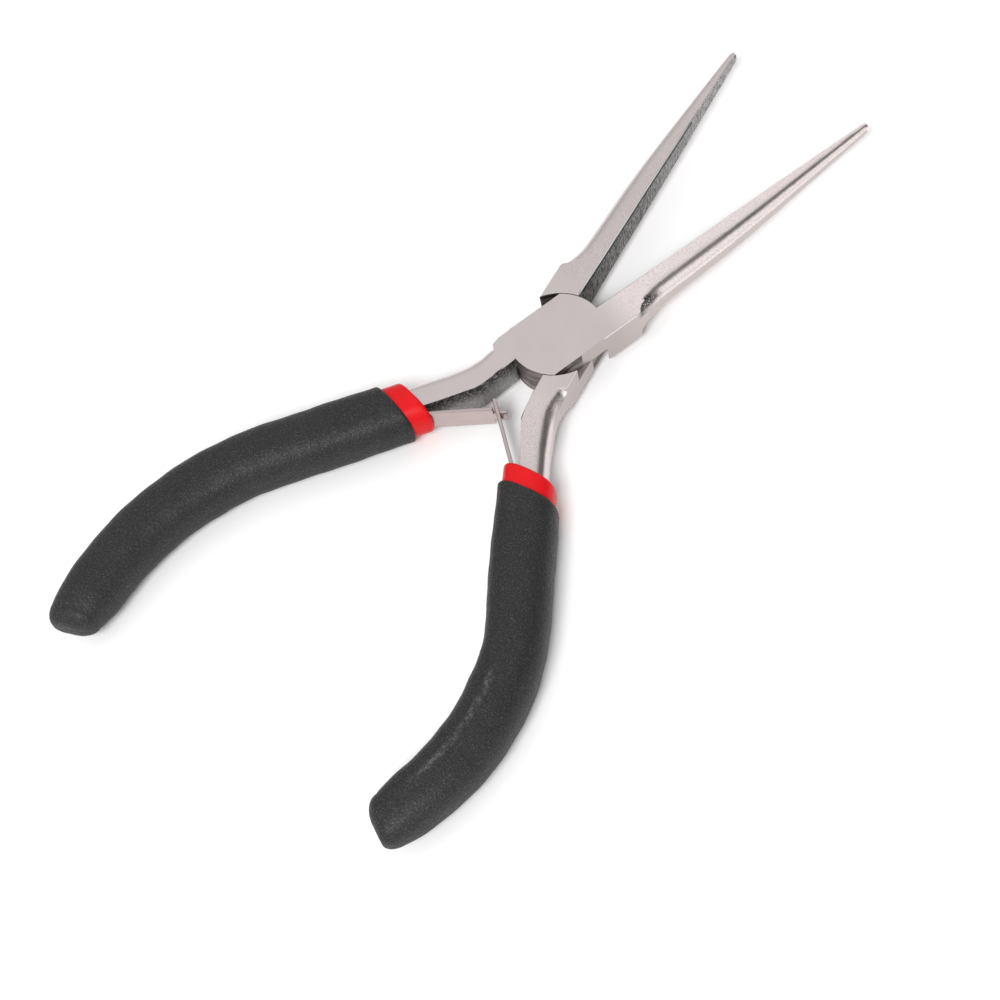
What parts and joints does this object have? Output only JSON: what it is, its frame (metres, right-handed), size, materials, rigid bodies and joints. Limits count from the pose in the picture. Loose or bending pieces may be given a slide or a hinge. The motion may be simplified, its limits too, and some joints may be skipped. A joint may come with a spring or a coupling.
{
  "type": "long-nose jewellery pliers",
  "caption": "Slim long-nose pliers for jewellery: half-round tapered jaws, lap joint, interlocked leaf springs and two-layer bowed grips.",
  "frame": {"origin": "pivot axis at the joint's flat back face, in the flush head of the pivot rivet", "axes": "+Z along the pivot axis from the back face to the front face, +Y along the centre plane from the pivot to the jaw tips, +X to the front lever's jaw"},
  "size_m": [0.0742, 0.1458, 0.0092],
  "materials": {
    "lever_steel": "satin nickel",
    "rivet_steel": "ground flush",
    "spring_steel": "bright rolled strip",
    "red_sleeve": "smooth",
    "black_grip": "fine grained, matte"
  },
  "bodies": {
    "front": {"front_lever": "lever_steel", "pivot_rivet": "rivet_steel", "front_spring_rivet": "rivet_steel", "front_inner_sleeve": "red_sleeve", "front_outer_grip": "black_grip"},
    "rear": {"rear_lever": "lever_steel", "rear_spring_rivet": "rivet_steel", "rear_inner_sleeve": "red_sleeve", "rear_outer_grip": "black_grip"},
    "front_leaf": {"front_leaf_spring": "spring_steel"},
    "rear_leaf": {"rear_leaf_spring": "spring_steel"}
  },
  "joints": [
    {"name": "pliers_pivot", "type": "hinge", "parent": "front", "child": "rear", "pos_m": [0, 0, 0.003], "axis": [0, 0, -1], "range_deg": [-4, 23.9], "stiffness_Nm_per_rad": 1.2},
    {"name": "front_leaf_bend", "type": "hinge", "parent": "front", "child": "front_leaf", "pos_m": [-0.00855, -0.02334, 0.003], "axis": [0, 0, 1], "range_deg": [-3.5, 19], "deforming": ["front_leaf_spring"]},
    {"name": "rear_leaf_bend", "type": "hinge", "parent": "rear", "child": "rear_leaf", "pos_m": [0.01076, -0.02281, 0.003], "axis": [0, 0, -1], "range_deg": [-3.5, 19], "deforming": ["rear_leaf_spring"]}
  ],
  "couplings": [
    {"joint": "front_leaf_bend", "follows": "pliers_pivot", "ratio": 0.78},
    {"joint": "rear_leaf_bend", "follows": "pliers_pivot", "ratio": 0.78}
  ]
}
